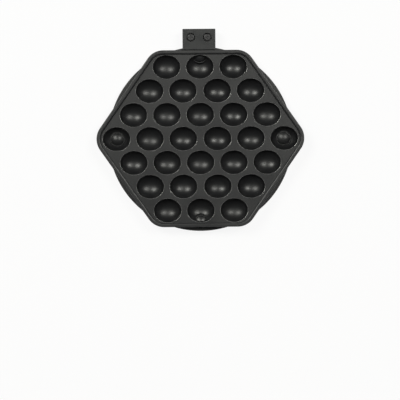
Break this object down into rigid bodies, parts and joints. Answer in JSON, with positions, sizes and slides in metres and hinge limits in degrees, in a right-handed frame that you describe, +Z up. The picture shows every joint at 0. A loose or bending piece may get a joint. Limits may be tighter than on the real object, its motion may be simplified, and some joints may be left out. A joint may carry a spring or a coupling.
{
  "type": "egg waffle pan",
  "caption": "Six-sided cast mould plate of oval egg cups on a round heater dish, with a half-round neck for the iron's arm; black non-stick finish.",
  "frame": {"origin": "On the axis of the round dish, on the flat underside that the pan rests on.", "axes": "+X runs to one pointed tip, +Y away from the neck, +Z up out of the cups."},
  "size_m": [0.208, 0.2025, 0.0193],
  "materials": {
    "plate_casting": "black non-stick coating on cast aluminium",
    "dish_casting": "black coating on cast aluminium",
    "black_screw": "blackened steel",
    "steel_screw": "zinc-plated steel",
    "steel_strap": "spring steel strip",
    "heater_tube": "annealed stainless tube",
    "heater_core": "packed oxide with its winding",
    "end_seal": "unglazed ceramic",
    "tinned_crimp": "tinned brass",
    "brown_lead": "silicone rubber sleeve",
    "blue_lead": "silicone rubber sleeve",
    "earth_sleeve": "silicone rubber sleeve",
    "mica": "pressed mica",
    "bush_rubber": "silicone rubber"
  },
  "bodies": {
    "root": {"mould_plate": "plate_casting", "heater_dish": "dish_casting", "neck_cover": "dish_casting", "neck_screws": "black_screw", "neck_screw_washers": "black_screw", "dish_screws": "steel_screw", "dish_screw_washers": "steel_screw", "clamp_screws": "steel_screw", "earth_screw": "steel_screw", "earth_washer": "steel_screw", "element_clamps": "steel_strap", "element_sheath": "heater_tube", "element_core": "heater_core", "element_seals": "end_seal", "terminal_pins": "steel_screw", "crimp_sleeves": "tinned_crimp", "earth_lug": "tinned_crimp", "live_lead": "brown_lead", "neutral_lead": "blue_lead", "earth_lead": "earth_sleeve", "mica_sheet": "mica", "cable_bush": "bush_rubber"}
  },
  "joints": []
}
